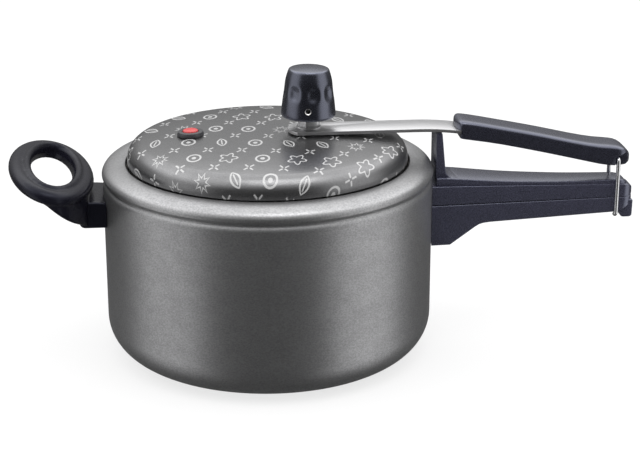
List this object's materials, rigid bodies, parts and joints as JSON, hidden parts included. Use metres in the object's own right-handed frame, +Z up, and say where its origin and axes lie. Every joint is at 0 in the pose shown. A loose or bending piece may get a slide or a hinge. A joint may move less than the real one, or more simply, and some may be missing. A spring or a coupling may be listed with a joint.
{
  "type": "stovetop pressure cooker",
  "caption": "Round stovetop pressure cooker with an inside-sealing domed lid, lever bar over a post, wire locking loop, vent weight, safety button and helper handle.",
  "frame": {"origin": "centre of the pot's flat base, at the face that stands on the hob", "axes": "+Z up through the pot's mouth; +X along the long handle and the lid's lever bar; +Y to the left when looking along +X"},
  "size_m": [0.4204, 0.2216, 0.1916],
  "materials": {
    "pot_coating": "speckled satin dark grey non-stick coating on aluminium",
    "lid_coating": null,
    "bakelite": "satin black moulded phenolic",
    "weight_bakelite": "semi-gloss black moulded phenolic",
    "bar_steel": "fine brushed stainless steel",
    "loop_steel": "bright drawn wire",
    "steel_hardware": "plain steel",
    "weight_metal": "turned brass",
    "gasket_silicone": "matt grey-white silicone",
    "dark_rubber": "matt dark rubber",
    "button_silicone": "smooth red silicone"
  },
  "bodies": {
    "pot": {"pot_body": "pot_coating", "handle_bracket": "steel_hardware", "handle_rivet_1": "steel_hardware", "handle_rivet_2": "steel_hardware", "handle_rivet_3": "steel_hardware", "handle_rivet_4": "steel_hardware", "handle_screw": "steel_hardware", "body_handle": "bakelite", "helper_bracket": "steel_hardware", "helper_rivet_1": "steel_hardware", "helper_rivet_2": "steel_hardware", "helper_screw": "steel_hardware", "helper_handle": "bakelite"},
    "lid": {"lid_shell": "lid_coating", "sealing_gasket": "gasket_silicone", "lid_bar": "bar_steel", "lid_grip": "bakelite", "grip_screw_1": "steel_hardware", "grip_screw_2": "steel_hardware", "vent_stem": "steel_hardware", "stem_seal": "dark_rubber", "bar_spacer": "steel_hardware", "stem_washer": "bar_steel", "stem_nut": "bar_steel", "vent_filter": "steel_hardware", "valve_grommet": "dark_rubber"},
    "loop": {"locking_loop": "loop_steel"},
    "weight": {"weight_cap": "weight_bakelite", "weight_core": "weight_metal"},
    "button": {"safety_button": "button_silicone"}
  },
  "joints": [
    {"name": "lid_lever", "type": "hinge", "parent": "pot", "child": "lid", "pos_m": [0.1142, 0, 0.132], "axis": [0, -1, 0], "range_deg": [0, 6]},
    {"name": "loop_swing", "type": "hinge", "parent": "lid", "child": "loop", "pos_m": [0.237, 0, 0.127], "axis": [0, -1, 0], "range_deg": [0, 110]},
    {"name": "weight_lift", "type": "slide", "parent": "lid", "child": "weight", "axis": [0, 0, 1], "range_m": [0, 0.045]},
    {"name": "safety_button_rise", "type": "slide", "parent": "lid", "child": "button", "axis": [-0.0235, 0.0009, 0.9997], "range_m": [0, 0.003]}
  ],
  "couplings": [
    {"joint": "loop_swing", "follows": "lid_lever", "ratio": 18.333}
  ]
}
